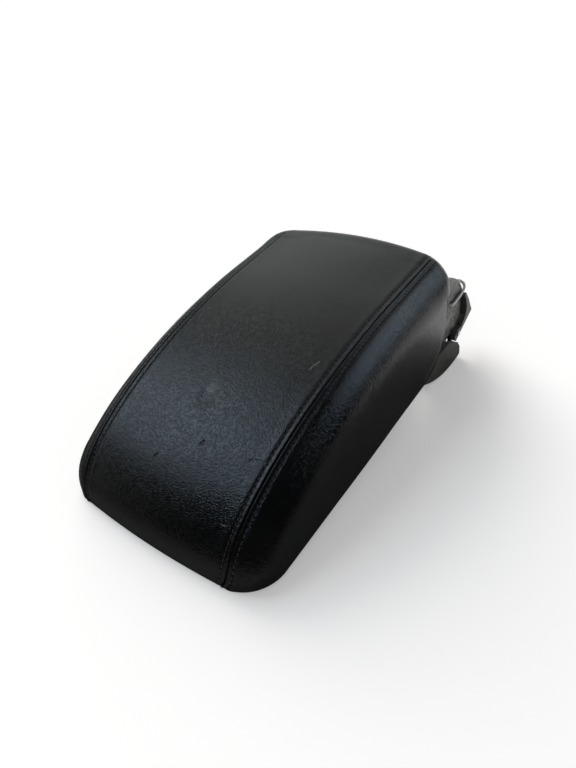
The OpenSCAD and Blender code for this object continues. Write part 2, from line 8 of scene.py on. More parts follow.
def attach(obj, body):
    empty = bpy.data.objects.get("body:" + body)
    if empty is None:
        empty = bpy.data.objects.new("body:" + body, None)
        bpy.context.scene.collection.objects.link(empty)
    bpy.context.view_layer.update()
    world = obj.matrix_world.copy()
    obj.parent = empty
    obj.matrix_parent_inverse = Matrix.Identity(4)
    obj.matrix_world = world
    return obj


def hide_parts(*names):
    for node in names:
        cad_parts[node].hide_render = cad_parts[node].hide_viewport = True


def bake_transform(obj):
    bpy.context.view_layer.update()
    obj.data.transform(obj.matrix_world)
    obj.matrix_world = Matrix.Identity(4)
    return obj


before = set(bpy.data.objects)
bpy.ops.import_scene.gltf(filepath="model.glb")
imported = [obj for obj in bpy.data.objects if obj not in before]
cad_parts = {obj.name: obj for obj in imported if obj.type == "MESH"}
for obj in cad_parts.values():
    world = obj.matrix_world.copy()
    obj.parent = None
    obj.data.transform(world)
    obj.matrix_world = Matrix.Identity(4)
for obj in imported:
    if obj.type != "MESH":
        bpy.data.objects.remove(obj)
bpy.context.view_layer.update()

MM = 0.001


# Hinge bracket, pin and push nuts. The bracket is one steel plate, pressed and bent into a foot and two cheeks, and
# phosphated grey like the pin that carries the lid and the nuts that grip its ends. Grease is smeared over the cheeks
# where the lid turns past them; it shines through its glossy coat, and its sharp glints are painted into the colour as
# pale specks. Four bolts hold the foot to the floor of the console.
def linear(shade):
    """sRGB hex to the linear colour that a shader takes"""
    parts = [int(shade[k:k + 2], 16) / 255 for k in (1, 3, 5)]
    return tuple(c / 12.92 if c <= 0.04045 else ((c + 0.055) / 1.055) ** 2.4 for c in parts) + (1.0,)


def add(tree, kind, feed=None, **settings):
    """adds one node with its settings, and links or sets its inputs"""
    made = tree.nodes.new(kind)
    for name, value in settings.items():
        setattr(made, name, value)
    for socket, value in (feed or {}).items():
        if isinstance(value, bpy.types.NodeSocket):
            tree.links.new(value, made.inputs[socket])
        else:
            made.inputs[socket].default_value = value
    return made


def ramp(tree, value, low, high, *shades):
    """colours spread over a value from low to high"""
    share = add(tree, "ShaderNodeMapRange", {"Value": value, "From Min": low, "From Max": high})
    made = add(tree, "ShaderNodeValToRGB", {"Fac": share.outputs[0]})
    stops = made.color_ramp.elements
    while len(stops) < len(shades):
        stops.new(0.5)
    for k, shade in enumerate(shades):
        stops[k].position = k / (len(shades) - 1)
        stops[k].color = linear(shade)
    return made.outputs["Color"]


def finish(name, **sockets):
    """a material of one principled shader; sockets are the values that are the same all over"""
    made = bpy.data.materials.new(name)
    made.use_nodes = True
    tree = made.node_tree
    tree.nodes.clear()
    shader = add(tree, "ShaderNodeBsdfPrincipled")
    for socket, value in sockets.items():
        shader.inputs[socket.replace("_", " ")].default_value = value
    add(tree, "ShaderNodeOutputMaterial", {"Surface": shader.outputs[0]})
    place = add(tree, "ShaderNodeTexCoord").outputs["Object"]
    return made, tree, shader, place


def link(tree, value, shader, socket):
    tree.links.new(value, shader.inputs[socket])


def dress(material, *names):
    """puts a material on CAD nodes"""
    for name in names:
        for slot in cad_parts[name].material_slots:
            slot.material = material


# Phosphated steel: a dull grey crystal coat under a film of grease. The crystals are under 0.1 mm and are drawn at
# about 0.5 mm so that they show. Pale specks of about 1 mm on the cheeks, round the pin, are painted glints of the
# grease.
greased_steel, tree, shader, place = finish(
    "phosphated_steel_greased", Metallic=0.75, Coat_Weight=0.6, Coat_Roughness=0.16)
patches = add(tree, "ShaderNodeTexNoise", {"Vector": place, "Scale": 160.0, "Detail": 4.0})
crystals = add(tree, "ShaderNodeTexNoise", {"Vector": place, "Scale": 2200.0, "Detail": 2.0})
smears = add(tree, "ShaderNodeTexNoise", {"Vector": place, "Scale": 520.0, "Detail": 3.0, "Distortion": 1.4})
centred = add(tree, "ShaderNodeVectorMath", {0: smears.outputs["Color"], 1: (0.5, 0.5, 0.5)}, operation="SUBTRACT")
pulled = add(tree, "ShaderNodeVectorMath", {0: centred.outputs[0], "Scale": 3.5 * MM}, operation="SCALE")
dragged = add(tree, "ShaderNodeVectorMath", {0: place, 1: pulled.outputs[0]}, operation="ADD")
specks = add(tree, "ShaderNodeTexVoronoi", {"Vector": dragged.outputs[0], "Scale": 600.0, "Randomness": 1.0})
clusters = add(tree, "ShaderNodeTexNoise", {"Vector": place, "Scale": 260.0, "Detail": 3.0})
clustered = add(tree, "ShaderNodeMapRange", {"Value": clusters.outputs["Fac"], "From Min": 0.46, "From Max": 0.6})
round_specks = add(tree, "ShaderNodeMapRange", {
    "Value": specks.outputs["Distance"], "From Min": 0.42, "From Max": 0.18})
spots = add(tree, "ShaderNodeMath", {0: round_specks.outputs[0], 1: clustered.outputs[0]}, operation="MULTIPLY")
about_pin = add(tree, "ShaderNodeMapping", {
    "Vector": place, "Location": (0, 2 * MM, 38 * MM), "Scale": (1, 26 * MM, 30 * MM)}, vector_type="TEXTURE")
axes = add(tree, "ShaderNodeSeparateXYZ", {0: about_pin.outputs[0]})
side_on = add(tree, "ShaderNodeCombineXYZ", {"Y": axes.outputs["Y"], "Z": axes.outputs["Z"]})
off_pin = add(tree, "ShaderNodeVectorMath", {0: side_on.outputs[0]}, operation="LENGTH")
near_pin = add(tree, "ShaderNodeMapRange", {"Value": off_pin.outputs["Value"], "From Min": 1.0, "From Max": 0.5})
off_middle = add(tree, "ShaderNodeMath", {0: axes.outputs["X"]}, operation="ABSOLUTE")
on_cheek = add(tree, "ShaderNodeMapRange", {
    "Value": off_middle.outputs[0], "From Min": 62 * MM, "From Max": 70 * MM, "To Max": 0.9})
grease_glint_area = add(tree, "ShaderNodeMath", {0: near_pin.outputs[0], 1: on_cheek.outputs[0]}, operation="MULTIPLY")
# pale specks mixed into the colour near the pin: painted glints of the grease
painted_glints = add(tree, "ShaderNodeMath", {0: spots.outputs[0], 1: grease_glint_area.outputs[0]}, operation="MULTIPLY")
steel = ramp(tree, patches.outputs["Fac"], 0.3, 0.7, "#2d2d2b", "#454543", "#5d5d5a")
specked = add(tree, "ShaderNodeMix", {"Factor": painted_glints.outputs[0], "A": steel, "B": linear("#b4b4ad")}, data_type="RGBA")
link(tree, specked.outputs["Result"], shader, "Base Color")
wet = add(tree, "ShaderNodeMapRange", {
    "Value": smears.outputs["Fac"], "From Min": 0.3, "From Max": 0.7, "To Min": 0.22, "To Max": 0.6})
link(tree, wet.outputs[0], shader, "Roughness")
grit = add(tree, "ShaderNodeBump", {"Height": crystals.outputs["Fac"], "Strength": 0.5, "Distance": 0.15 * MM})
film = add(tree, "ShaderNodeBump", {
    "Height": smears.outputs["Fac"], "Strength": 1.0, "Distance": 0.7 * MM, "Normal": grit.outputs[0]})
link(tree, film.outputs[0], shader, "Normal")
link(tree, film.outputs[0], shader, "Coat Normal")
dress(greased_steel, "hinge_bracket", "hinge_pin", "push_nut_left", "push_nut_right")


def soften(width, *names):
    """rounds the edges of moulded or pressed CAD nodes a little, as their tools leave them"""
    for name in names:
        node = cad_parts[name]
        weld = node.modifiers.new("weld", "WELD")
        weld.merge_threshold = 0.01 * MM
        edge = node.modifiers.new("edge", "BEVEL")
        edge.width = width
        edge.segments = 2
        edge.limit_method = "ANGLE"
        edge.angle_limit = math.radians(40)
        edge.harden_normals = True


soften(0.35 * MM, "hinge_bracket")

# Rivets and screws. Bright rolled steel, wiped with oil. The rivets hold the guards to the cheeks, and the screws
# hold the base panel, the lid arms and, from inside, the end covers.
bright_steel, tree, shader, place = finish("rolled_steel_oiled", Metallic=1.0, Coat_Weight=0.3, Coat_Roughness=0.1)
draw_marks = add(tree, "ShaderNodeTexNoise", {"Vector": place, "Scale": 900.0, "Detail": 3.0, "Distortion": 0.6})
link(tree, ramp(tree, draw_marks.outputs["Fac"], 0.3, 0.7, "#9fa1a3", "#c9cbcc"), shader, "Base Color")
oiled = add(tree, "ShaderNodeMapRange", {"Value": draw_marks.outputs["Fac"], "To Min": 0.2, "To Max": 0.42})
link(tree, oiled.outputs[0], shader, "Roughness")
marks = add(tree, "ShaderNodeBump", {"Height": draw_marks.outputs["Fac"], "Strength": 0.4, "Distance": 0.05 * MM})
link(tree, marks.outputs[0], shader, "Normal")
dress(bright_steel, "guard_rivet_left", "guard_rivet_right",
      *(f"panel_screw_{k}" for k in range(1, 7)), *(f"arm_screw_{k}" for k in range(1, 5)),
      *(f"cover_screw_{k}" for k in range(1, 5)))

# Spacers and arm bushes. Natural nylon, turned or moulded, slightly see-through and off-white.
# They slip over the pin and keep steel from rubbing on steel.
nylon, tree, shader, place = finish("nylon_natural", Roughness=0.42, Subsurface_Weight=0.25, Subsurface_Scale=1.5 * MM)
cloud = add(tree, "ShaderNodeTexNoise", {"Vector": place, "Scale": 300.0, "Detail": 3.0})
link(tree, ramp(tree, cloud.outputs["Fac"], 0.3, 0.7, "#b9b4a2", "#d5d1c3"), shader, "Base Color")
turned = add(tree, "ShaderNodeBump", {"Height": cloud.outputs["Fac"], "Strength": 0.3, "Distance": 0.1 * MM})
link(tree, turned.outputs[0], shader, "Normal")
dress(nylon, "spacer_left", "spacer_right", "arm_bush_left", "arm_bush_right")

# Torsion springs. Hard-drawn wire, 2.2 mm thick, wound cold in three turns and dipped in grease, so that it looks
# wet. Its near-white colour is partly the pale grease and partly painted sheen, set light so that the wire shows bright
# where it stands in shade. The inner leg sits in the lid arm, and the outer leg hooks over the step of the cheek.
spring_wire, tree, shader, place = finish("spring_wire_greased", Metallic=0.1, Coat_Weight=0.3, Coat_Roughness=0.2)
wire_drawn = add(tree, "ShaderNodeTexNoise", {"Vector": place, "Scale": 700.0, "Detail": 3.0, "Distortion": 0.8})
# near-white ramp: partly the pale grease, partly painted sheen
link(tree, ramp(tree, wire_drawn.outputs["Fac"], 0.3, 0.7, "#c8c8c1", "#e2e2db"), shader, "Base Color")
wet = add(tree, "ShaderNodeMapRange", {"Value": wire_drawn.outputs["Fac"], "To Min": 0.35, "To Max": 0.55})
link(tree, wet.outputs[0], shader, "Roughness")
grease = add(tree, "ShaderNodeBump", {"Height": wire_drawn.outputs["Fac"], "Strength": 0.5, "Distance": 0.1 * MM})
link(tree, grease.outputs[0], shader, "Normal")

AXIS_HIGH = 40.0  # mm from the foot's lower face up to the hinge axis
WIRE_R = 1.1
COIL_R = 11.5
cheek_out, cheek_in, arm_out = 73.5, 70.5, 59.0
coil_from, coil_to = 61.7, 68.9
wire_out = cheek_out + WIRE_R + 0.2
COIL_START, COIL_SWEEP, COIL_STEPS = 84, 1055, 112  # degrees and points of the three turns
coil = [(coil_from + (coil_to - coil_from) * k / COIL_STEPS,
         COIL_R * math.cos(math.radians(COIL_START - COIL_SWEEP * k / COIL_STEPS)),
         COIL_R * math.sin(math.radians(COIL_START - COIL_SWEEP * k / COIL_STEPS))) for k in range(COIL_STEPS + 1)]
wire_path = [(arm_out - 2.2, -24, 13.4), (arm_out + 0.4, -24, 13.4), (coil_from - 0.4, -22.8, 13.4),
             (coil_from, -21, 13.2), (coil_from, -10, 12.4)] + coil + [
            (coil_to, 12, 16.1), (coil_to, 24, 20.4), (coil_to + 0.6, 31, 20.8), (cheek_out - 1, 34, 17.8),
            (wire_out - 0.4, 33.6, 15.2), (wire_out, 29.6, 12.2), (wire_out, 20, 10.4), (wire_out, 14, 9.4),
            (wire_out - 0.3, 11.9, 9.4), (cheek_out - 0.8, 11, 9.5), (cheek_in + 0.5, 11, 9.5)]


def pick(piece):
    bpy.ops.object.select_all(action="DESELECT")
    piece.select_set(True)
    bpy.context.view_layer.objects.active = piece


for side, name in ((1, "right"), (-1, "left")):
    line = bpy.data.curves.new("spring_" + name, "CURVE")
    line.dimensions = "3D"
    line.bevel_depth = WIRE_R * MM
    line.bevel_resolution = 4
    line.resolution_u = 3
    line.use_fill_caps = True
    spline = line.splines.new("NURBS")
    spline.points.add(len(wire_path) - 1)
    for point, (x, y, z) in zip(spline.points, wire_path):
        point.co = (side * x * MM, y * MM, (z + AXIS_HIGH) * MM, 1)
    spline.order_u = 3
    spline.use_endpoint_u = True
    spring = bpy.data.objects.new("spring_" + name, line)
    bpy.context.scene.collection.objects.link(spring)
    pick(spring)
    bpy.ops.object.convert(target="MESH")
    bpy.ops.object.mode_set(mode="EDIT")
    bpy.ops.mesh.select_all(action="SELECT")
    bpy.ops.mesh.remove_doubles(threshold=0.005 * MM)
    bpy.ops.mesh.normals_make_consistent(inside=False)
    bpy.ops.object.mode_set(mode="OBJECT")
    bpy.ops.object.shade_smooth_by_angle(angle=math.radians(50))
    spring = bpy.context.view_layer.objects.active
    spring.data.materials.clear()
    spring.data.materials.append(spring_wire)
    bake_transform(spring)
    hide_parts("torsion_spring_" + name)

# Rear guards and end covers. Injection-moulded nylon and ABS, dark grey. The guard is riveted to the cheek and keeps
# fingers out of it, and the end cover is a thin smooth cap, screwed on from inside over the foot of the cheek.
for name, dull, fine, broad, shades, bumps, node in (
        ("nylon_moulded_dark", 0.46, 1400.0, 90.0, ("#424241", "#50504e"), (0.4, 0.08), "rear_guard_"),
        ("abs_moulded_satin", 0.38, 1800.0, 60.0, ("#494845", "#585752"), (0.25, 0.05), "end_cover_")):
    plastic, tree, shader, place = finish(name, Roughness=dull, Specular_IOR_Level=0.5)
    skin = add(tree, "ShaderNodeTexNoise", {"Vector": place, "Scale": fine, "Detail": 2.0})
    tone = add(tree, "ShaderNodeTexNoise", {"Vector": place, "Scale": broad, "Detail": 3.0})
    link(tree, ramp(tree, tone.outputs["Fac"], 0.3, 0.7, *shades), shader, "Base Color")
    rough = add(tree, "ShaderNodeBump", {
        "Height": skin.outputs["Fac"], "Strength": bumps[0], "Distance": bumps[1] * MM})
    link(tree, rough.outputs[0], shader, "Normal")
    dress(plastic, node + "left", node + "right")
    soften(0.5 * MM, node + "left", node + "right")

# Lid arms and brace tube. Steel strip and tube, zinc plated and passivated: pale grey with a faint spangle.
# The arms are screwed up into the shell, and the tube ties them together.
zinc, tree, shader, place = finish("zinc_plated_steel", Metallic=1.0)
spangle = add(tree, "ShaderNodeTexVoronoi", {"Vector": place, "Scale": 240.0})
link(tree, ramp(tree, spangle.outputs["Distance"], 0.0, 0.8, "#a3a6a8", "#bfc2c3"), shader, "Base Color")
dulled = add(tree, "ShaderNodeMapRange", {"Value": spangle.outputs["Distance"], "To Min": 0.3, "To Max": 0.48})
link(tree, dulled.outputs[0], shader, "Roughness")
dress(zinc, "arm_left", "arm_right", "arm_brace")

# Inner shell and base panel. Injection-moulded polypropylene and ABS, black. The shell carries the foam and has
# bosses, and the panel closes the lid from below with ribs inside and a fine moulded grain outside.
shell_plastic, tree, shader, place = finish("polypropylene_moulded", Roughness=0.55)
flow = add(tree, "ShaderNodeTexNoise", {"Vector": place, "Scale": 120.0, "Detail": 3.0})
link(tree, ramp(tree, flow.outputs["Fac"], 0.3, 0.7, "#26272a", "#323336"), shader, "Base Color")
flow_bump = add(tree, "ShaderNodeBump", {"Height": flow.outputs["Fac"], "Strength": 0.3, "Distance": 0.1 * MM})
link(tree, flow_bump.outputs[0], shader, "Normal")
dress(shell_plastic, "pad_shell")

panel_plastic, tree, shader, place = finish("abs_moulded_grain", Roughness=0.5)
grain = add(tree, "ShaderNodeTexVoronoi", {"Vector": place, "Scale": 1300.0}, feature="SMOOTH_F1")
tone = add(tree, "ShaderNodeTexNoise", {"Vector": place, "Scale": 50.0, "Detail": 3.0})
link(tree, ramp(tree, tone.outputs["Fac"], 0.3, 0.7, "#232426", "#2b2c2e"), shader, "Base Color")
grain_bump = add(tree, "ShaderNodeBump", {"Height": grain.outputs["Distance"], "Strength": 0.5, "Distance": 0.12 * MM})
link(tree, grain_bump.outputs[0], shader, "Normal")
dress(panel_plastic, "base_panel")
soften(0.4 * MM, "base_panel")

# Bumpers. Moulded rubber mushrooms, pushed into holes in the base panel, where the lid meets the console.
rubber, tree, shader, place = finish("rubber_moulded", Roughness=0.75, Specular_IOR_Level=0.4)
bloom = add(tree, "ShaderNodeTexNoise", {"Vector": place, "Scale": 400.0, "Detail": 4.0})
link(tree, ramp(tree, bloom.outputs["Fac"], 0.3, 0.7, "#151516", "#222224"), shader, "Base Color")
bloom_bump = add(tree, "ShaderNodeBump", {"Height": bloom.outputs["Fac"], "Strength": 0.4, "Distance": 0.1 * MM})
link(tree, bloom_bump.outputs[0], shader, "Normal")
dress(rubber, "bumper_left", "bumper_right")
soften(0.5 * MM, "bumper_left", "bumper_right")

# Form of the pad. Its sizes are those of the part's source: a long roll down to the front edge, rounded shoulders,
# upright sides and a lower rear corner that is cut round so that the lid clears the console.
PAD_LONG, PAD_WIDE, PAD_HIGH = 272.0, 176.0, 68.5
ROLL_LONG, ROLL_POWER, REAR_ROLL = 196.0, 1.9, 16.0
SHOULDER, FRONT_CORNER, REAR_CORNER, RIM_R = 24.0, 24.0, 26.0, 47.0
CROWN, SIDE_BOW, REAR_TAPER, FRONT_BOW, REAR_BOW = 2.5, 0.8, 3.5, 5.0, 7.5
BOW_FRONT, BOW_REAR = 86, 60  # mm from the middle at which the front and the rear have bowed that far
SEAM_X, SEAM_TUCK = 66.5, 1.5
AXIS_BACK, AXIS_UP = 250.0, 12.0
touch = AXIS_BACK - FRONT_BOW * ((PAD_WIDE / 2 - SIDE_BOW - FRONT_CORNER) / BOW_FRONT) ** 2
REST_TILT = math.asin(AXIS_HIGH / math.hypot(touch, AXIS_UP)) - math.atan2(AXIS_UP, touch)


def rounded_cut(radius, from_end):
    return 0.0 if from_end >= radius else radius - math.sqrt(max(radius ** 2 - (radius - from_end) ** 2, 0))


def half_width(y, depth):
    t = y / PAD_LONG
    return (PAD_WIDE / 2 - depth[0] - SIDE_BOW * (2 * t - 1) ** 2 - REAR_TAPER * t
            - rounded_cut(FRONT_CORNER - depth[0], y - depth[2])
            - rounded_cut(REAR_CORNER - depth[0], PAD_LONG - depth[2] - y))


def rim_height(y):
    v = min(max((y - (PAD_LONG - REAR_CORNER - RIM_R)) / RIM_R, 0), 1)
    return RIM_R * (1 - math.sqrt(1 - v * v))


def shares(y, depth):
    """how much of the full height the front roll has reached and the rear roll has left"""
    u = min(max((y - depth[2]) / (ROLL_LONG - depth[2]), 0), 1)
    end = max(REAR_ROLL - depth[2], 3)
    v = min(max((y - (PAD_LONG - depth[2] - end)) / end, 0), 1)
    return (1 - (1 - u) ** ROLL_POWER) ** (1 / ROLL_POWER), math.sqrt(1 - v * v)


def top_height(y, depth):
    low = rim_height(y)
    front, rear = shares(y, depth)
    return max(low + 0.8, low + ((PAD_HIGH - depth[1]) * front - low) * rear)


def shoulder_drop(y, depth):
    """how far down the shoulder reaches, evened out along the pad, because a skin can't follow a step"""
    span = min(14, 0.6 * (PAD_LONG - y))
    places = [min(max(y + span * k / 5, depth[2]), PAD_LONG - depth[2]) for k in range(-5, 6)]
    drops = [min(SHOULDER - depth[0], 0.8 * (top_height(k, depth) - rim_height(k))) for k in places]
    return min(sum(drops) / len(drops), 0.96 * (top_height(y, depth) - rim_height(y)))


def half_section(y, depth, rim_lift=0.0):
    """points from the middle of the top over the shoulder to the rim, in mm about the hinge axis"""
    a, high = half_width(y, depth), top_height(y, depth)
    low = rim_height(min(y + rim_lift, PAD_LONG))
    across = min(SHOULDER - depth[0], 0.8 * a)
    down = shoulder_drop(y, depth)
    flat = a - across
    front, rear = shares(y, depth)
    crown = min(CROWN * front * rear, (high - low) / 10)
    xs = np.linspace(0, flat, 60)
    top = np.c_[xs, high - crown * (xs / a) ** 2]
    turn = np.linspace(0, math.pi / 2, 50)[1:]
    edge = top[-1, 1]
    shoulder = np.c_[flat + across * np.sin(turn), np.maximum(edge - down * (1 - np.cos(turn)), low + 0.02)]
    drop = np.linspace(0, 1, 50)[1:]
    wall = np.c_[np.full(49, a), shoulder[-1, 1] + (min(low + rim_lift, shoulder[-1, 1]) - shoulder[-1, 1]) * drop]
    xz = np.r_[top, shoulder, wall]
    t = y / PAD_LONG
    ys = y + FRONT_BOW * (1 - t) * (xz[:, 0] / BOW_FRONT) ** 2 - REAR_BOW * t ** 4 * (xz[:, 0] / BOW_REAR) ** 2
    return np.c_[xz[:, 0], ys - AXIS_BACK, xz[:, 1] - AXIS_UP]


def at_rest(points):
    """from the lid's own frame about the hinge axis, in mm, to the row frame, in metres"""
    c, s = math.cos(REST_TILT), math.sin(REST_TILT)
    x, y, z = points[..., 0], points[..., 1], points[..., 2]
    return np.stack([x, y * c - z * s, y * s + z * c + AXIS_HIGH], -1) * MM


def seam_place(y, a):
    """the seam runs straight, and bends in softly where the corners cut across it"""
    straight, soft = SEAM_X - SEAM_TUCK * (1 - y / PAD_LONG) ** 3, 4
    return -soft * math.log(math.exp(-straight / soft) + math.exp(-(a - 3) / soft))


NEAR = np.array([0.03, 0.25, 0.5, 0.85, 1.2, 1.65, 2.2, 2.8, 3.3, 3.8, 4.3, 5.0, 6.0, 7.5, 9.5])


def pad_grid(rows, depth=(0, 0, 0), rim_lift=0.0, inner=16, outer=16):
    """grid over the whole pad, from the left rim to the right rim, with close columns at both seams.
    Also gives each column's distance from its seam, and each row's place along the seam."""
    fine = depth[2] + (PAD_LONG - 2 * depth[2]) * (1 - np.cos(np.linspace(0, math.pi, 900))) / 2
    path = np.r_[0, np.cumsum(np.hypot(np.diff(fine), np.diff([top_height(y, depth) for y in fine])))]
    ys = np.interp(np.linspace(0, path[-1], rows), path, fine)
    grid, away, seam = [], [], []
    for y in ys:
        line = half_section(y, depth, rim_lift)
        arc = np.r_[0, np.cumsum(np.linalg.norm(np.diff(line, axis=0), axis=1))]
        centre = np.interp(seam_place(y, half_width(y, depth)), line[:, 0], arc)
        rest = arc[-1] - centre
        near_in = NEAR * min(1, 0.6 * centre / NEAR[-1])
        near_out = NEAR * min(1, 0.6 * rest / NEAR[-1])
        u = np.r_[-centre, np.linspace(-centre, -near_in[-1], inner + 1)[1:-1], -near_in[::-1],
                  near_out, np.linspace(near_out[-1], rest, outer + 1)[1:]]
        row = np.stack([np.interp(centre + u, arc, line[:, k]) for k in range(3)], -1)
        left = row[:0:-1] * [-1, 1, 1]
        grid.append(np.r_[left, row])
        away.append(np.r_[u[:0:-1], u])
        seam.append(np.array([np.interp(centre, arc, line[:, k]) for k in range(3)]))
    seam = np.array(seam)
    along = np.r_[0, np.cumsum(np.linalg.norm(np.diff(seam, axis=0), axis=1))]
    return np.array(grid), np.array(away), along


def grid_normals(grid):
    """unit normals that point out of the pad"""
    n = np.cross(np.gradient(grid, axis=1), np.gradient(grid, axis=0))
    return n / np.maximum(np.linalg.norm(n, axis=-1, keepdims=True), 1e-9)


def quads_of(rows, columns):
    """the faces of a sheet whose points lie in rows and columns"""
    return [(i * columns + j, i * columns + j + 1, (i + 1) * columns + j + 1, (i + 1) * columns + j)
            for i in range(rows - 1) for j in range(columns - 1)]


def piece_of(name, points, faces):
    made = bpy.data.meshes.new(name)
    made.from_pydata(points.tolist(), [], faces)
    piece = bpy.data.objects.new(name, made)
    bpy.context.scene.collection.objects.link(piece)
    return piece


def sheet_of(name, grid, away=None, along=None):
    """a quad sheet from a grid of points in metres, with a UV map of mm from the seam and along it"""
    rows, columns = grid.shape[:2]
    piece = piece_of(name, grid.reshape(-1, 3), quads_of(rows, columns))
    if away is not None:
        layer = piece.data.uv_layers.new(name="seam")
        flat_u, flat_v = away.reshape(-1), np.repeat(along, columns)
        for loop in piece.data.loops:
            layer.data[loop.index].uv = (flat_u[loop.vertex_index], flat_v[loop.vertex_index])
    return piece


def turn_outwards(piece):
    pick(piece)
    bpy.ops.object.mode_set(mode="EDIT")
    bpy.ops.mesh.select_all(action="SELECT")
    bpy.ops.mesh.normals_make_consistent(inside=False)
    bpy.ops.object.mode_set(mode="OBJECT")


# How the foam fills the cover. The moulded foam presses the leather out between the seams, which hold it down. That
# swelling is found by cloth simulation on a coarse, slightly smaller copy of the pad and then laid over every skin.
grid, away, along = pad_grid(60, depth=(0.7, 0.7, 0.7), inner=12, outer=12)
CAP, FRAMES = 4.0, 20  # mm that a point may swell at most, and frames of simulation
swell = None
coarse = sheet_of("swelling", at_rest(grid))
rows, columns = grid.shape[:2]
pick(coarse)
bpy.ops.object.mode_set(mode="EDIT")
bpy.ops.mesh.select_all(action="SELECT")
bpy.ops.mesh.region_to_loop()
bpy.ops.mesh.edge_face_add()
bpy.ops.mesh.select_all(action="SELECT")
bpy.ops.mesh.normals_make_consistent(inside=False)
bpy.ops.object.mode_set(mode="OBJECT")
remesh = coarse.modifiers.new("voxels", "REMESH")
remesh.mode = "VOXEL"
remesh.voxel_size = 4.5 * MM
bpy.ops.object.modifier_apply(modifier="voxels")
start = np.array([v.co for v in coarse.data.vertices])
held = coarse.vertex_groups.new(name="held")
tree_of_grid = BVHTree.FromPolygons([Vector(p) for p in at_rest(grid).reshape(-1, 3)], quads_of(rows, columns))
# the seams, the rim and the closed underside hold still
for k, point in enumerate(start):
    near = tree_of_grid.find_nearest(Vector(point))
    i, j = divmod(near[2], columns - 1)
    at_rim = j < 2 or j > columns - 4 or i < 1 or i > rows - 3
    if near[3] > 2.5 * MM or abs(away[i, j]) < 3.5 or at_rim:
        held.add([k], 1.0, "REPLACE")
cloth = coarse.modifiers.new("cloth", "CLOTH")
cloth.settings.quality = 6
cloth.settings.mass = 0.3
cloth.settings.use_pressure = True
cloth.settings.uniform_pressure_force = 4.0
cloth.settings.effector_weights.gravity = 0.0
cloth.settings.vertex_group_mass = "held"
for step in range(1, FRAMES + 1):
    bpy.context.scene.frame_set(step)
posed = coarse.evaluated_get(bpy.context.evaluated_depsgraph_get())
moved = np.array([v.co for v in posed.data.vertices]) - start
coarse.modifiers.remove(cloth)
bpy.context.scene.frame_set(1)
far = np.linalg.norm(moved, axis=1, keepdims=True)
moved *= np.minimum(1, CAP * MM / np.maximum(far, 1e-9))
print("swelling: most", round(float(far.max()) * 1000, 2), "mm before the cap")
for vertex, point in zip(coarse.data.vertices, start + moved):
    vertex.co = point
swell = BVHTree.FromPolygons([v.co.copy() for v in coarse.data.vertices],
                             [tuple(p.vertices) for p in coarse.data.polygons])
bpy.data.objects.remove(coarse)


def smooth_field(field, passes):
    for _ in range(passes):
        padded = np.pad(field, 1, mode="edge")
        field = (padded[:-2, 1:-1] + padded[2:, 1:-1] + padded[1:-1, :-2] + padded[1:-1, 2:] + 2 * field) / 6
    return field


REACH = 8.0  # mm, from how far out the swollen copy is looked for


def swelling(grid, normals, passes=40):
    """how far the filled cover stands off the plain form, in mm, at each point of a grid"""
    if swell is None:
        return np.zeros(grid.shape[:2])
    points = at_rest(grid)
    ways = at_rest(grid + normals) - points
    lift = np.zeros(grid.shape[:2])
    for i in range(grid.shape[0]):
        for j in range(grid.shape[1]):
            way = Vector(ways[i, j]).normalized()
            hit = swell.ray_cast(Vector(points[i, j]) + way * REACH * MM, -way, 2 * REACH * MM)
            lift[i, j] = 0 if hit[0] is None else REACH - hit[3] / MM
    return np.clip(smooth_field(np.clip(lift, -1.5, 2.5), passes) + 0.4, 0.0, 1.4)


# Foam. Moulded polyurethane, 12 mm on the top and 5 mm on the sides, with channels for the seams. It is glued to
# the shell, and it stops above the turned-in edge of the cover. Its open cells are about 0.3 mm wide and are drawn at
# 0.9 mm so that they show.
foam_finish, tree, shader, place = finish("polyurethane_foam", Roughness=0.9, Specular_IOR_Level=0.2)
cells = add(tree, "ShaderNodeTexVoronoi", {"Vector": place, "Scale": 1100.0}, feature="DISTANCE_TO_EDGE")
age = add(tree, "ShaderNodeTexNoise", {"Vector": place, "Scale": 40.0, "Detail": 4.0})
link(tree, ramp(tree, age.outputs["Fac"], 0.3, 0.7, "#b79f5e", "#d6c68c"), shader, "Base Color")
cell_bump = add(tree, "ShaderNodeBump", {"Height": cells.outputs["Distance"], "Strength": 0.8, "Distance": 0.4 * MM})
link(tree, cell_bump.outputs[0], shader, "Normal")

FOAM_ROWS, FOAM_LIFT = 110, 5.0
outer, away, along = pad_grid(FOAM_ROWS, depth=(2.4, 2.4, 2.4), rim_lift=FOAM_LIFT, inner=12, outer=12)
from_edge = np.minimum(away.max(axis=1, keepdims=True) - away, np.minimum(along, along[-1] - along)[:, None])
# channels for the seams and their thread rows, and an edge pressed in behind the rim
channel = (-2.4 * np.exp(-(away / 1.2) ** 2) - 0.4 * np.exp(-((np.abs(away) - 3.8) / 1.1) ** 2)
           - 1.4 * np.exp(-(from_edge / 6) ** 2))
normals = grid_normals(outer)
outer = outer + normals * np.minimum(swelling(outer, normals, 20) + channel, 0.3)[..., None]
inner, _, _ = pad_grid(FOAM_ROWS, depth=(7.0, 13.8, 7.0), rim_lift=FOAM_LIFT, inner=12, outer=12)
rows, columns = outer.shape[:2]
count = rows * columns
faces = quads_of(rows, columns)
loop = ([(0, j) for j in range(columns)] + [(i, columns - 1) for i in range(1, rows)]
        + [(rows - 1, j) for j in range(columns - 2, -1, -1)] + [(i, 0) for i in range(rows - 2, 0, -1)])
ring = [i * columns + j for i, j in loop]
faces = faces + [tuple(count + v for v in face[::-1]) for face in faces] + [
    (ring[k], count + ring[k], count + ring[(k + 1) % len(ring)], ring[(k + 1) % len(ring)]) for k in range(len(ring))]
foam = piece_of("foam", at_rest(np.concatenate([outer.reshape(-1, 3), inner.reshape(-1, 3)])), faces)
turn_outwards(foam)
bpy.ops.object.shade_smooth_by_angle(angle=math.radians(50))
foam.data.materials.append(foam_finish)
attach(foam, "lid")
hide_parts("foam_pad")

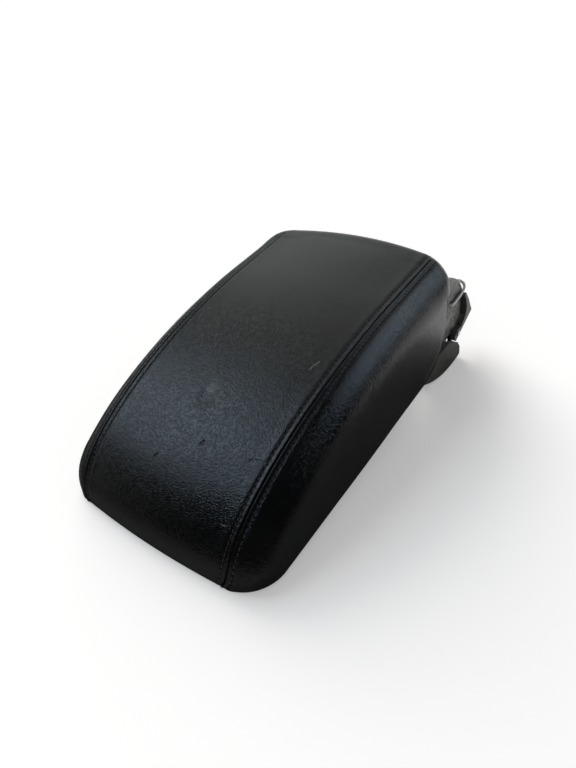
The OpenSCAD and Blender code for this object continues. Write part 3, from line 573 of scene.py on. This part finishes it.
# Leather cover. Cowhide with an embossed pebble grain, dyed and pigmented black, 1.3 mm thick, cut as a top and two
# sides. It is sewn with the edges turned down into the foam's channels, pulled over the foam and glued under the rim.
PITCH, ROW_OFF = 3.5, 3.8  # mm a stitch, and mm from a seam to the rows beside it
THICK = 1.3


def mark(tree, place, centre, turn, size):
    """1 in the middle of a marked place, 0 outside it; the place is an ellipsoid of half sizes in mm"""
    local = add(tree, "ShaderNodeMapping", {"Vector": place, "Location": [c * MM for c in centre],
                "Rotation": [math.radians(a) for a in turn], "Scale": [s * MM for s in size]}, vector_type="TEXTURE")
    far = add(tree, "ShaderNodeVectorMath", {0: local.outputs[0]}, operation="LENGTH")
    return add(tree, "ShaderNodeMapRange", {"Value": far.outputs["Value"], "From Min": 1.0, "From Max": 0.0},
               interpolation_type="SMOOTHERSTEP").outputs[0]


def most(tree, values):
    """the largest of several values"""
    total = values[0]
    for value in values[1:]:
        total = add(tree, "ShaderNodeMath", {0: total, 1: value}, operation="MAXIMUM").outputs[0]
    return total


def line_mark(tree, place, points, width, facing):
    """1 along a marked line and 0 beyond its width in mm. Its points lie on the pad, and distance along facing, which
    is how the leather faces there, counts little."""
    shares = []
    for first, last in zip(points[:-1], points[1:]):
        a, b = (Vector(at_rest(np.array(p) - (0, AXIS_BACK, AXIS_UP))) for p in (first, last))
        reach = add(tree, "ShaderNodeVectorMath", {0: place, 1: a}, operation="SUBTRACT").outputs[0]
        depth = add(tree, "ShaderNodeVectorMath", {0: reach, 1: facing}, operation="PROJECT").outputs[0]
        most_of = add(tree, "ShaderNodeVectorMath", {0: depth, "Scale": 0.85}, operation="SCALE").outputs[0]
        reach = add(tree, "ShaderNodeVectorMath", {0: reach, 1: most_of}, operation="SUBTRACT").outputs[0]
        along = add(tree, "ShaderNodeVectorMath", {0: reach, 1: (b - a) / (b - a).length_squared},
                    operation="DOT_PRODUCT")
        share = add(tree, "ShaderNodeClamp", {"Value": along.outputs["Value"]}).outputs[0]
        foot = add(tree, "ShaderNodeVectorMath", {0: b - a, "Scale": share}, operation="SCALE").outputs[0]
        far = add(tree, "ShaderNodeVectorMath", {0: reach, 1: foot}, operation="DISTANCE").outputs["Value"]
        shares.append(add(tree, "ShaderNodeMapRange", {
            "Value": far, "From Min": width * MM, "From Max": 0.25 * width * MM},
            interpolation_type="SMOOTHSTEP").outputs[0])
    return most(tree, shares)


# Pigmented leather: a near-black semi-matt coat over a pebble grain of about 1.3 mm, drawn at 1.45 mm so that it
# shows at this distance. Hands have polished the top and dried it to brownish grey.
PEBBLE = 1.45
leather, tree, shader, place = finish("cowhide_pigmented_black")
warp = add(tree, "ShaderNodeTexNoise", {"Vector": place, "Scale": 260.0, "Detail": 2.0})
bent = add(tree, "ShaderNodeVectorMath", {0: warp.outputs["Color"], 1: (0.5, 0.5, 0.5)}, operation="SUBTRACT")
small = add(tree, "ShaderNodeVectorMath", {0: bent.outputs[0], "Scale": 0.6 * MM}, operation="SCALE")
loose = add(tree, "ShaderNodeVectorMath", {0: place, 1: small.outputs[0]}, operation="ADD")
pebbles = add(tree, "ShaderNodeTexVoronoi", {"Vector": loose.outputs[0], "Scale": 1 / (PEBBLE * MM)},
              feature="DISTANCE_TO_EDGE")
pebble_height = add(tree, "ShaderNodeMapRange", {
    "Value": pebbles.outputs["Distance"], "From Min": 0.0, "From Max": 0.42},
    interpolation_type="SMOOTHSTEP").outputs[0]
pores = add(tree, "ShaderNodeTexNoise", {"Vector": place, "Scale": 2600.0, "Detail": 2.0})
stretch = add(tree, "ShaderNodeTexNoise", {"Vector": place, "Scale": 22.0, "Detail": 5.0, "Roughness": 0.6})
dents = add(tree, "ShaderNodeTexNoise", {"Vector": place, "Scale": 45.0, "Detail": 3.0})
rubbed = mark(tree, place, (10, -95, 78), (0, 0, 0), (95, 120, 30))
# two short cuts: their grooves are bumped in below, and the near-black mixed into them is painted shade
cuts = most(tree, [line_mark(tree, place, [(14.9, 52.9, 45.0), (15.8, 54.6, 45.6)], 1.4, (0, -0.55, 0.83)),
                   line_mark(tree, place, [(-11.4, 35.6, 37.3), (-11.2, 37.0, 38.0)], 1.4, (0, -0.6, 0.8))])
creases = most(tree, [
    line_mark(tree, place, [(51.7, 56.6, 45.3), (54.9, 57.7, 45.5), (59.8, 58.8, 45.7)], 1.6, (0, -0.5, 0.87)),
    line_mark(tree, place, [(84.3, 137.5, 48.8), (85.8, 131.4, 43.3), (86.2, 124.3, 40.3)], 0.7, (0.98, 0, 0.2)),
    line_mark(tree, place, [(86.5, 116.1, 36.0), (86.6, 108.0, 34.5)], 0.7, (1, 0, 0))])
scratch = most(tree, [
    line_mark(tree, place, [(53.2, 22.4, 28.2), (57.0, 23.2, 28.5)], 0.6, (0, -0.75, 0.66)),
    line_mark(tree, place, [(50.6, 121.8, 61.7), (51.2, 126.0, 62.3)], 1.0, (0, -0.3, 0.95)),
    line_mark(tree, place, [(51.4, 125.0, 62.1), (52.8, 129.2, 62.7)], 0.9, (0, -0.3, 0.95))])
broken = add(tree, "ShaderNodeMapRange", {"Value": pores.outputs["Fac"], "From Min": 0.42, "From Max": 0.56})
scratch = add(tree, "ShaderNodeMath", {0: scratch, 1: broken.outputs[0]}, operation="MULTIPLY").outputs[0]
# a pale line along the right rear edge, where the leather rounds the corner: painted highlight of that rounded edge
painted_edge_highlight = line_mark(tree, place, [
    (84.4, 238.6, 58.0), (84.4, 234.4, 42.0), (84.5, 228.7, 28.8), (84.7, 223.0, 14.8), (84.9, 211.7, 7.6),
    (85.3, 196.6, 3.3)], 0.8, (1, 0, 0))
dimple = mark(tree, place, (-1.6, -173.0, 62.0), (15, 0, 15), (12.0, 16.0, 16.0))
# a lighter bluish-grey spot on the upper side of the dimple: painted highlight where that side faces the light
painted_highlight_spot = mark(tree, place, (-3.2, -168.0, 63.5), (15, 0, 0), (5.5, 6.5, 9.0))
hue = ramp(tree, stretch.outputs["Fac"], 0.32, 0.68, "#060709", "#0b0c0d", "#11110f")
# colour marks: the rubbed top and the scratches are wear, the dimple's spot and the rear edge line are painted
# highlights, and the near-black in the cuts is painted shade
for wear_and_light, share, shade in ((rubbed, 0.55, "#1a1917"), (scratch, 0.7, "#6e6e68"), (painted_highlight_spot, 0.55, "#4a4e50"),
                           (painted_edge_highlight, 1.0, "#56564f"), (cuts, 1.0, "#030303")):
    part_wear_and_light = add(tree, "ShaderNodeMath", {0: wear_and_light, 1: share}, operation="MULTIPLY")
    hue = add(tree, "ShaderNodeMix", {"Factor": part_wear_and_light.outputs[0], "A": hue, "B": linear(shade)},
              data_type="RGBA").outputs["Result"]
polish = add(tree, "ShaderNodeMapRange", {
    "Value": stretch.outputs["Fac"], "From Min": 0.3, "From Max": 0.7, "To Min": 0.19, "To Max": 0.26})
link(tree, polish.outputs[0], shader, "Roughness")
# needle holes of the topstitching, from the distances kept in the seam UV map
sewn = add(tree, "ShaderNodeSeparateXYZ", {0: add(tree, "ShaderNodeUVMap", uv_map="seam").outputs[0]})
off_seam = add(tree, "ShaderNodeMath", {0: sewn.outputs["X"]}, operation="ABSOLUTE")
row_far = add(tree, "ShaderNodeMath", {0: off_seam.outputs[0], 1: ROW_OFF}, operation="SUBTRACT")
hole_far = add(tree, "ShaderNodeMath", {0: sewn.outputs["Y"], 1: PITCH / 2}, operation="PINGPONG")
to_hole = add(tree, "ShaderNodeCombineXYZ", {"X": row_far.outputs[0], "Y": hole_far.outputs[0]})
near_hole = add(tree, "ShaderNodeVectorMath", {0: to_hole.outputs[0]}, operation="LENGTH")
hole = add(tree, "ShaderNodeMapRange", {"Value": near_hole.outputs["Value"], "From Min": 0.95, "From Max": 0.25},
           interpolation_type="SMOOTHSTEP").outputs[0]
dark_hole = add(tree, "ShaderNodeMath", {0: hole, 1: 0.9}, operation="MULTIPLY")
holed = add(tree, "ShaderNodeMix", {"Factor": dark_hole.outputs[0], "A": hue, "B": linear("#020202")}, data_type="RGBA")
link(tree, holed.outputs["Result"], shader, "Base Color")
hole_dull = add(tree, "ShaderNodeMapRange", {"Value": hole, "To Min": 0.45, "To Max": 0.1})
link(tree, hole_dull.outputs[0], shader, "Specular IOR Level")
# heights and depths in mm
normal = None
for height, depth in ((pebble_height, 0.1), (pores.outputs["Fac"], 0.008), (dents.outputs["Fac"], 0.25)):
    feed = {"Height": height, "Strength": 1.0, "Distance": depth * MM}
    if normal is not None:
        feed["Normal"] = normal
    normal = add(tree, "ShaderNodeBump", feed).outputs[0]
for height, depth in ((hole, 0.7), (cuts, 0.9), (creases, 0.14), (scratch, 0.1), (dimple, 0.65)):
    normal = add(tree, "ShaderNodeBump", {"Height": height, "Strength": 1.0, "Distance": depth * MM, "Normal": normal},
                 invert=True).outputs[0]
link(tree, normal, shader, "Normal")

grid, away, along = pad_grid(300)
normals = grid_normals(grid)
u, v = np.abs(away), along[:, None]
wave = np.sin(2 * math.pi * v / PITCH)
# mm off the form: the seam's groove and its two folds, the thread row drawn down at each stitch, and the fill beyond
sewn_lift = (-1.1 * np.exp(-(u / 0.33) ** 2) + 0.28 * np.exp(-((u - 1.1) / 0.5) ** 2)
             - (0.3 + 0.16 * wave) * np.exp(-((u - ROW_OFF) / 0.6) ** 2)
             + 0.12 * wave * np.exp(-((u - 2.3) / 0.8) ** 2) + 0.2 * np.exp(-((u - 6.5) / 2.2) ** 2))
lift = swelling(grid, normals) + sewn_lift
skin = grid + normals * lift[..., None]
columns = grid.shape[1]
halfway = grid.shape[0] // 2
seam_left = int(np.argmin(np.abs(away[halfway, :columns // 2])))
last_side = seam_left if away[halfway, seam_left] > 0 else seam_left - 1
cut_left, cut_right = last_side + 1, columns - last_side - 1
for name, first, last, node in (("leather_left", 0, cut_left, "cover_left_panel"),
                                ("leather_top", cut_left, cut_right, "cover_top_panel"),
                                ("leather_right", cut_right, columns, "cover_right_panel")):
    part, part_away, part_along = skin[:, first:last], away[:, first:last], along
    if name == "leather_top":
        # one more row at each end closes the top down to the rim
        low = grid[[0, -1], first:last].copy()
        low[0, :, 2], low[1, :, 2] = rim_height(0) - AXIS_UP, rim_height(PAD_LONG) - AXIS_UP
        part = np.concatenate([low[:1], part, low[1:]])
        part_away = np.concatenate([part_away[:1], part_away, part_away[-1:]])
        part_along = np.r_[along[0] - 0.8, along, along[-1] + 0.8]
    piece = sheet_of(name, at_rest(part), part_away, part_along)
    pick(piece)
    thick = piece.modifiers.new("thick", "SOLIDIFY")
    thick.thickness = THICK * MM
    thick.offset = -1
    bpy.ops.object.modifier_apply(modifier="thick")
    for vertex in piece.data.vertices:
        vertex.co.z = max(vertex.co.z, 0.0)  # the front edge lies flat on the floor
    bpy.ops.object.shade_smooth_by_angle(angle=math.radians(70))
    piece.data.materials.append(leather)
    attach(piece, "lid")
    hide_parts(node)

# Turned-in edge of the cover. The last 7 mm of the leather, folded under the rim all round and glued to the foam
# and the shell, so that no foam shows from below.
ys = PAD_LONG * (1 - np.cos(np.linspace(0, math.pi, 160))) / 2
side_line = np.array([half_section(y, (0, 0, 0))[-1] for y in ys])
front_line = np.array([[x, FRONT_BOW * (x / BOW_FRONT) ** 2 - AXIS_BACK, -AXIS_UP]
                       for x in np.linspace(0, side_line[0, 0], 30)[:-1]])
rear_line = np.array([[x, PAD_LONG - REAR_BOW * (x / BOW_REAR) ** 2 - AXIS_BACK, RIM_R - AXIS_UP]
                      for x in np.linspace(side_line[-1, 0], 0, 30)[1:]])
half = np.r_[front_line, side_line, rear_line]
rim = np.r_[half, half[-2:0:-1] * [-1, 1, 1]]
ahead = np.roll(rim, -3, axis=0) - np.roll(rim, 3, axis=0)
inward = np.c_[-ahead[:, 1], ahead[:, 0]]
inward = inward / np.linalg.norm(inward, axis=1, keepdims=True)


def in_from_rim(distance, rise):
    """the rim line moved inwards and up, kept on the rim's own curve"""
    plan = rim[:, :2] + inward * distance
    share = np.clip((rim[:, 1] + AXIS_BACK) / PAD_LONG, 0, 1)
    back = plan[:, 1] + AXIS_BACK + REAR_BOW * share ** 4 * (rim[:, 0] / BOW_REAR) ** 2
    level = np.array([rim_height(min(max(y, 0), PAD_LONG)) for y in back]) - AXIS_UP
    return np.c_[plan, level + rise]


HEM = 6.8
lines = [in_from_rim(0.05, 0.9), in_from_rim(0.15, 0.3), in_from_rim(0.6, 0.02), in_from_rim(HEM, 0.02),
         in_from_rim(HEM, THICK), in_from_rim(1.2, THICK)]
count, turns = len(rim), len(lines)
faces = [(a * count + k, a * count + (k + 1) % count, (a + 1) % turns * count + (k + 1) % count,
          (a + 1) % turns * count + k) for a in range(turns) for k in range(count)]
laid = at_rest(np.concatenate(lines))
laid[:, 2] = np.maximum(laid[:, 2], 0)
hem = piece_of("leather_hem", laid, faces)
for loop_uv in hem.data.uv_layers.new(name="seam").data:
    loop_uv.uv = (40.0, 0.0)  # mm, far from any needle hole
turn_outwards(hem)
bpy.ops.object.shade_smooth_by_angle(angle=math.radians(40))
hem.data.materials.append(leather)
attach(hem, "lid")

# Topstitching. Bonded polyester thread, 0.6 mm thick and black, sewn at 3.5 mm a stitch in two rows along each seam.
# Each stitch lies on the leather and dips into a needle hole at both ends.
thread_finish, tree, shader, place = finish("polyester_thread_black", Roughness=0.5, Sheen_Weight=0.25)
twist = add(tree, "ShaderNodeTexWave", {"Vector": place, "Scale": 900.0, "Distortion": 1.0},
            bands_direction="DIAGONAL")
link(tree, ramp(tree, twist.outputs["Fac"], 0.0, 1.0, "#0f1012", "#222427"), shader, "Base Color")
ply = add(tree, "ShaderNodeBump", {"Height": twist.outputs["Fac"], "Strength": 0.6, "Distance": 0.12 * MM})
link(tree, ply.outputs[0], shader, "Normal")

bpy.ops.object.select_all(action="DESELECT")
bpy.ops.mesh.primitive_cylinder_add(vertices=8, radius=0.31, depth=2.9, end_fill_type="TRIFAN",
                                    rotation=(0, math.pi / 2, 0))
stitch = bpy.context.object
bpy.ops.object.transform_apply(location=True, rotation=True, scale=True)
bpy.ops.object.mode_set(mode="EDIT")
for cut in (-0.95, 0.0, 0.95):
    bpy.ops.mesh.select_all(action="SELECT")
    bpy.ops.mesh.bisect(plane_co=(cut, 0, 0), plane_no=(1, 0, 0))
bpy.ops.object.mode_set(mode="OBJECT")
for vertex in stitch.data.vertices:
    if abs(vertex.co.x) >= 1.0:  # the ends are drawn thin and down into the holes
        vertex.co.y *= 0.6
        vertex.co.z = vertex.co.z * 0.6 - 0.5
unit = np.array([v.co for v in stitch.data.vertices])
unit_faces = [tuple(p.vertices) for p in stitch.data.polygons]
bpy.data.objects.remove(stitch)

surface = at_rest(skin)
out = grid_normals(surface)


def along_row(values, column, place):
    """the values of one grid column at places along the seam, in mm"""
    return np.stack([np.interp(place, along, values[:, column, k]) for k in range(3)], -1)


for name, span in (("left", range(0, columns // 2)), ("right", range(columns // 2, columns))):
    points, faces = [], []
    for sign in (1, -1):
        column = span[int(np.argmin(np.abs(away[halfway, list(span)] * sign - ROW_OFF)))]
        steps = np.arange(3.0, along[-1] - 3.0, PITCH)  # a row stops 3 mm before the seam's ends
        middle = steps - steps[0] % PITCH + PITCH / 2
        centres, up = along_row(surface, column, middle), along_row(out, column, middle)
        ahead = along_row(surface, column, middle + 0.8) - along_row(surface, column, middle - 0.8)
        ahead /= np.linalg.norm(ahead, axis=1, keepdims=True)
        across = np.cross(up, ahead)
        across /= np.linalg.norm(across, axis=1, keepdims=True)
        up = np.cross(ahead, across)
        for c, a, b, n in zip(centres, ahead, across, up):
            first = len(points)
            points.extend(c + n * 0.22 * MM + (unit[:, :1] * a + unit[:, 1:2] * b + unit[:, 2:] * n) * MM)
            faces.extend(tuple(first + k for k in face) for face in unit_faces)
    thread = piece_of("thread_" + name, np.array(points), faces)
    pick(thread)
    bpy.ops.object.shade_smooth_by_angle(angle=math.radians(60))
    thread.data.materials.append(thread_finish)
    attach(thread, "lid")

# Floor. A plain white sheet under the part. It shows white to the camera and in reflections and keeps the shadow.
bpy.ops.object.select_all(action="DESELECT")
bpy.ops.mesh.primitive_plane_add(size=40, location=(0, 0, 0))
floor = bpy.context.object
floor.name = "floor"
paper = bpy.data.materials.new("paper_sweep_white")
paper.use_nodes = True
tree = paper.node_tree
tree.nodes.clear()
seen = add(tree, "ShaderNodeLightPath")
looked = most(tree, [seen.outputs["Is Camera Ray"], seen.outputs["Is Glossy Ray"], seen.outputs["Is Transmission Ray"]])
shine = add(tree, "ShaderNodeMath", {0: looked, 1: 0.32}, operation="MULTIPLY")
matt = add(tree, "ShaderNodeBsdfDiffuse", {"Color": linear("#f2f2f2")})
glow = add(tree, "ShaderNodeEmission", {"Strength": shine.outputs[0]})
white = add(tree, "ShaderNodeAddShader", {0: matt.outputs[0], 1: glow.outputs[0]})
add(tree, "ShaderNodeOutputMaterial", {"Surface": white.outputs[0]})
floor.data.materials.append(paper)

# Light. Tall windows on the left and behind light the part and throw its shadow forward and to the right. The room in
# front is dark, as for a photograph of black leather, and glossy surfaces see the windows as soft bright patches.
aim = Vector((0.0, -0.11, 0.05))


def toward(azimuth, elevation):
    """a direction in the room, in degrees from the front round to the right, and up"""
    a, e = math.radians(azimuth), math.radians(elevation)
    return Vector((math.sin(a) * math.cos(e), -math.cos(a) * math.cos(e), math.sin(e)))


def daylight(name, azimuth, elevation, spread, strength, shade):
    """matt light from one side; its reflection is left to the patches below"""
    lamp = bpy.data.lights.new(name, "SUN")
    lamp.angle = math.radians(spread)
    lamp.energy = strength
    lamp.color = linear(shade)[:3]
    holder = bpy.data.objects.new(name, lamp)
    bpy.context.scene.collection.objects.link(holder)
    holder.location = aim + toward(azimuth, elevation)
    holder.rotation_euler = toward(azimuth, elevation).to_track_quat("Z", "Y").to_euler()
    holder.visible_glossy = False


daylight("rear_window_light", -122, 25, 42, 2.3, "#fffaf4")
daylight("left_window_light", -108, 50, 40, 1.0, "#f6faff")

room = bpy.data.worlds.new("studio_room")
bpy.context.scene.world = room
room.use_nodes = True
tree = room.node_tree
tree.nodes.clear()
way = add(tree, "ShaderNodeTexCoord").outputs["Generated"]


def patch(azimuth, elevation, inner, outer, level, shade):
    """a round soft-edged part of the room, full within inner degrees and gone beyond outer"""
    facing = add(tree, "ShaderNodeVectorMath", {0: way, 1: toward(azimuth, elevation)}, operation="DOT_PRODUCT")
    share = add(tree, "ShaderNodeMapRange", {
        "Value": facing.outputs["Value"], "From Min": math.cos(math.radians(outer)),
        "From Max": math.cos(math.radians(inner)), "To Max": level}, interpolation_type="SMOOTHSTEP")
    lit = add(tree, "ShaderNodeVectorMath", {0: linear(shade)[:3], "Scale": share.outputs[0]}, operation="SCALE")
    return lit.outputs[0]


# the pale wall behind, the left window, a lower one behind on the left, one behind on the right, and the dim front
total = patch(-150, -25, 96, 104, 0.4, "#f3f6f2")
for look in ((-71, 49, 13, 20, 2.7, "#cfe4fa"), (-135, 24, 10, 24, 0.6, "#eef4f6"),
             (137, 38, 14, 26, 2.1, "#c8def4"), (30, 20, 20, 90, 0.04, "#dfe8f0")):
    total = add(tree, "ShaderNodeVectorMath", {0: total, 1: patch(*look)}, operation="ADD").outputs[0]
seen = add(tree, "ShaderNodeLightPath")
mirrored = most(tree, [seen.outputs["Is Glossy Ray"], seen.outputs["Is Transmission Ray"]])
plain = add(tree, "ShaderNodeMapRange", {"Value": seen.outputs["Is Camera Ray"], "To Min": 0.25, "To Max": 1.0})
colour = add(tree, "ShaderNodeMix", {"Factor": mirrored, "A": plain.outputs[0], "B": total}, data_type="VECTOR")
sky = add(tree, "ShaderNodeBackground", {"Color": colour.outputs["Result"], "Strength": 1.0})
add(tree, "ShaderNodeOutputWorld", {"Surface": sky.outputs[0]})

# black card round the front and right, and grey card on the floor; only reflections see them
bpy.ops.object.select_all(action="DESELECT")
bpy.ops.mesh.primitive_cylinder_add(vertices=64, radius=0.7, depth=0.4, end_fill_type="NOTHING",
                                    location=(0, -0.11, 0.2))
card = bpy.context.object
card.name = "black_card"
bpy.ops.object.mode_set(mode="EDIT")
bpy.ops.mesh.select_mode(type="FACE")
bpy.ops.mesh.select_all(action="DESELECT")
bpy.ops.object.mode_set(mode="OBJECT")
for face in card.data.polygons:
    face.select = not -48 < math.degrees(math.atan2(face.center.x, -face.center.y - 0.11)) < 118
bpy.ops.object.mode_set(mode="EDIT")
bpy.ops.mesh.delete(type="FACE")
bpy.ops.object.mode_set(mode="OBJECT")
flock = bpy.data.materials.new("flock_black")
flock.use_nodes = True
flock.node_tree.nodes["Principled BSDF"].inputs["Base Color"].default_value = linear("#050505")
card.data.materials.append(flock)
bpy.ops.object.select_all(action="DESELECT")
bpy.ops.mesh.primitive_plane_add(size=1.0, location=(0.05, -0.48, 0.0001))
bpy.ops.transform.resize(value=(1.4, 1.04, 1.0))
grey_card = bpy.context.object
bpy.ops.object.transform_apply(location=True, rotation=True, scale=True)
grey_card.name = "grey_card"
felt, tree, shader, place = finish("felt_grey", Roughness=1.0)
across_card = add(tree, "ShaderNodeSeparateXYZ", {0: place}).outputs["X"]
link(tree, ramp(tree, across_card, -0.2, 0.75, "#2c2c2c", "#a4a4a4", "#6a6a6a", "#262626"), shader, "Base Color")
grey_card.data.materials.append(felt)
for shade in (card, grey_card):
    shade.visible_camera = shade.visible_diffuse = shade.visible_shadow = shade.visible_transmission = False

# Camera. It stands to the right and in front of the part and looks down at it, as in the photograph.
lens = bpy.data.cameras.new("camera")
lens.sensor_fit = "VERTICAL"
lens.sensor_height = 36
lens.lens = 36 * 621.687 / 768
lens.shift_x = 5.236 / 768
lens.shift_y = -24.891 / 768
lens.clip_start = 0.01
camera = bpy.data.objects.new("camera", lens)
bpy.context.scene.collection.objects.link(camera)
camera.matrix_world = Matrix((
    (0.77997651, -0.26191419, 0.56836397, 0.25108672),
    (0.61208696, 0.50842244, -0.60568653, -0.36897176),
    (-0.1303311, 0.82030944, 0.55687182, 0.29254017),
    (0, 0, 0, 1)))
bpy.context.scene.camera = camera

bpy.context.scene.view_settings.view_transform = "Standard"
